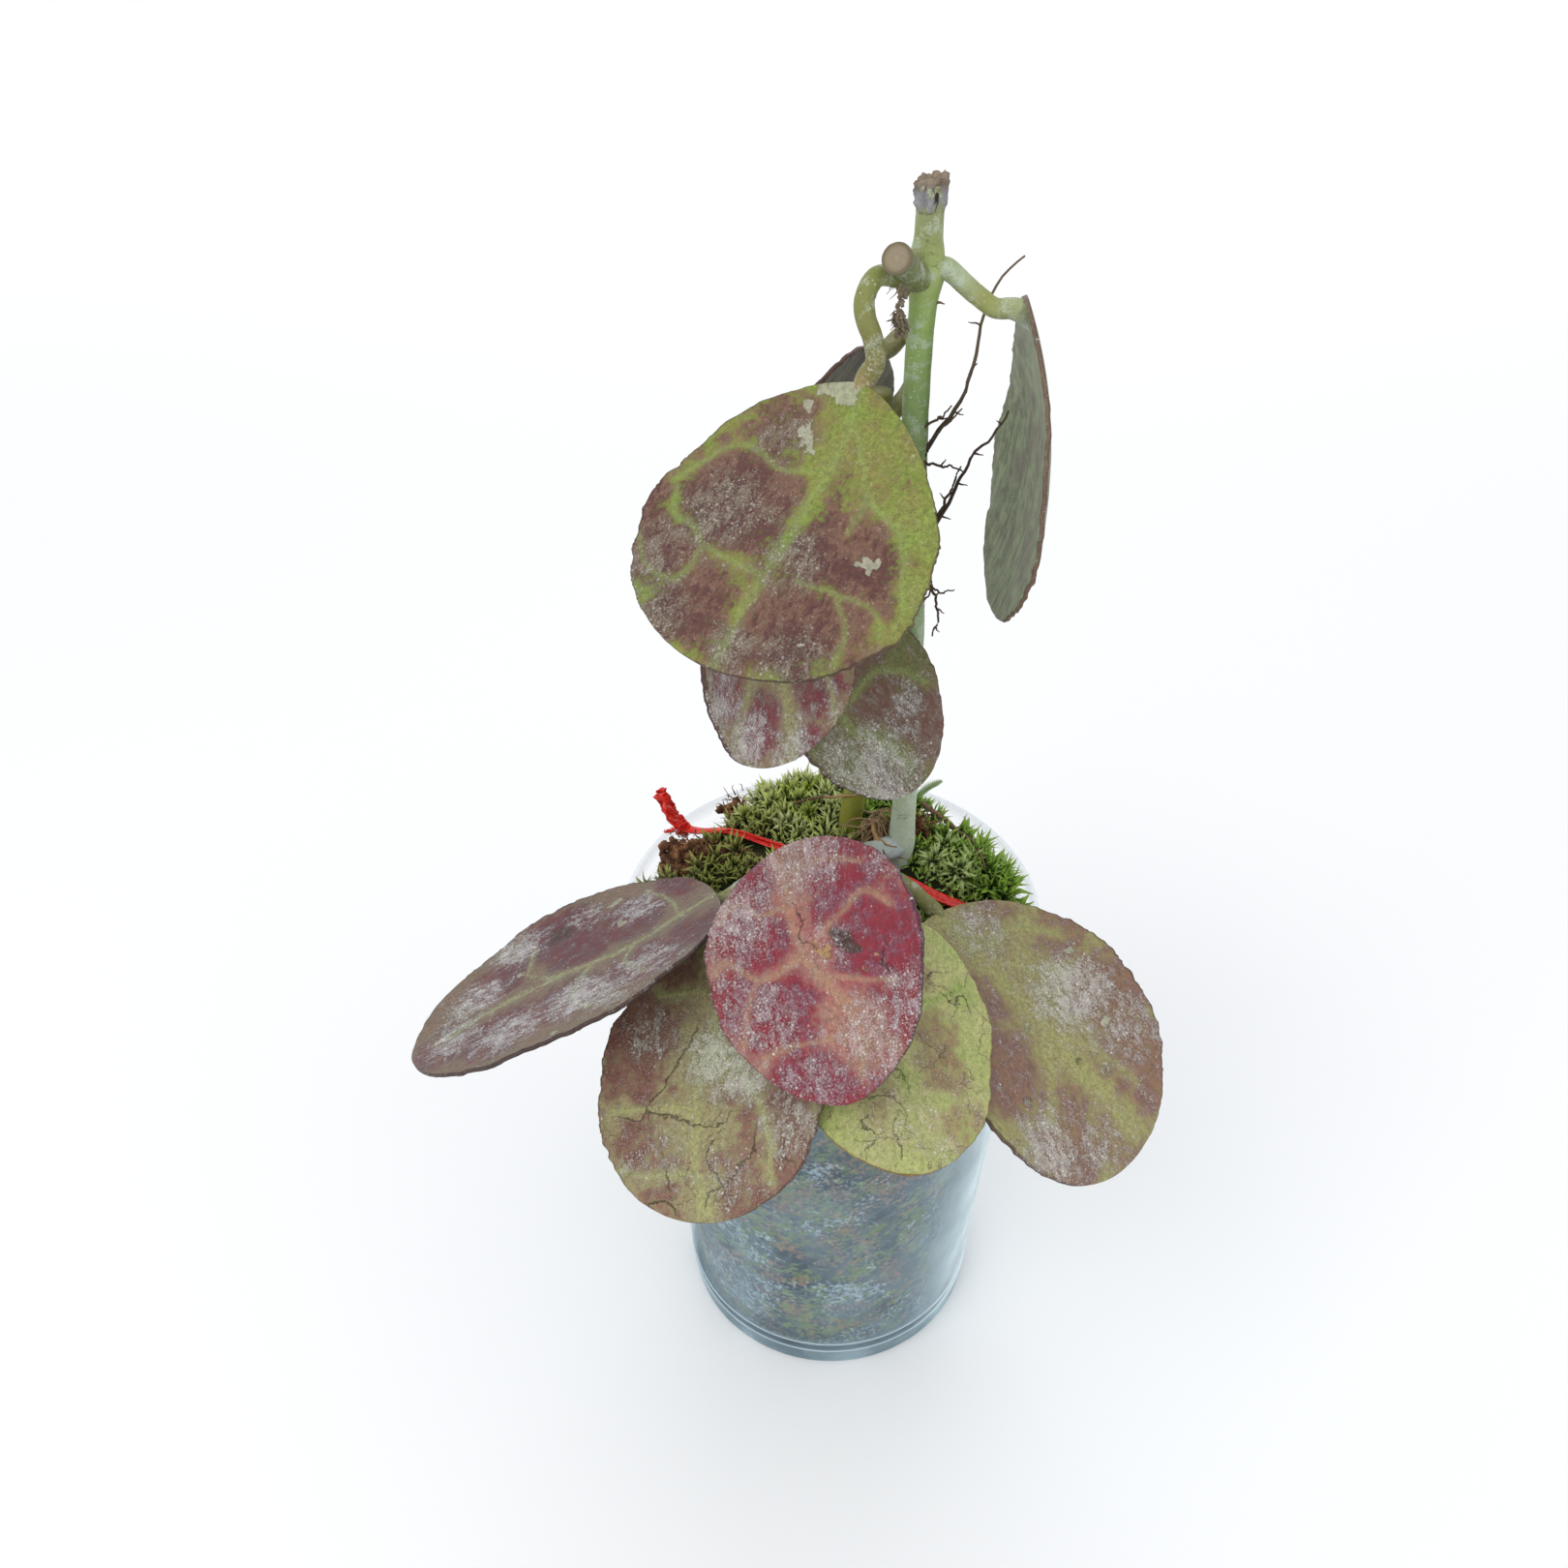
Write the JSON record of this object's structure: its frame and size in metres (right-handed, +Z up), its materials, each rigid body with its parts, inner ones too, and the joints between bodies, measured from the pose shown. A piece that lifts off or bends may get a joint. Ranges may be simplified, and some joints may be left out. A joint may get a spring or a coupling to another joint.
{
  "type": "potted hoya cutting",
  "caption": "A climbing hoya cutting with round leathery leaves on upright stems, rooted in a mound of moss in a tall thin frosted cup, with a red raffia tie.",
  "frame": {"origin": "centre of the pot's flat underside", "axes": "+Z up along the pot's axis; the side seen in the picture faces -Y, +X is to the right there"},
  "size_m": [0.1553, 0.1288, 0.2881],
  "materials": {
    "pot": "frosted, translucent, faint blue-grey",
    "substrate": "damp, dark moss and bark mix",
    "moss": "living star moss, pale grey-green to bright green",
    "twig": "dark dry bark",
    "tie": "bright red flat raffia strip",
    "stem_main": "green, waxy white towards the foot",
    "stem_second": "olive yellow-green, smooth",
    "leaf_top_left": "leathery leaf, semi-matte, mottled and dusted",
    "leaf_top_back": "leathery leaf, semi-matte, mottled and dusted",
    "leaf_middle_left": "leathery leaf, semi-matte, mottled and dusted",
    "leaf_middle_right": "leathery leaf, semi-matte, mottled and dusted",
    "leaf_hanging_right": "leathery leaf, semi-matte, mottled and dusted",
    "leaf_low_left": "leathery leaf, semi-matte, mottled and dusted",
    "leaf_low_front_left": "leathery leaf, semi-matte, mottled and dusted",
    "leaf_low_centre": "leathery leaf, semi-matte, mottled and dusted",
    "leaf_low_front_right": "leathery leaf, semi-matte, mottled and dusted",
    "leaf_low_right": "leathery leaf, semi-matte, mottled and dusted"
  },
  "bodies": {
    "root": {"pot": "pot", "substrate": "substrate", "moss_mound": "moss", "twig": "twig", "tie_ribbon": "tie", "stem_main": "stem_main", "stem_second": "stem_second", "leaf_top_left": "leaf_top_left", "leaf_top_back": "leaf_top_back", "leaf_middle_left": "leaf_middle_left", "leaf_middle_right": "leaf_middle_right", "leaf_hanging_right": "leaf_hanging_right", "leaf_low_left": "leaf_low_left", "leaf_low_front_left": "leaf_low_front_left", "leaf_low_centre": "leaf_low_centre", "leaf_low_front_right": "leaf_low_front_right", "leaf_low_right": "leaf_low_right"}
  },
  "joints": []
}
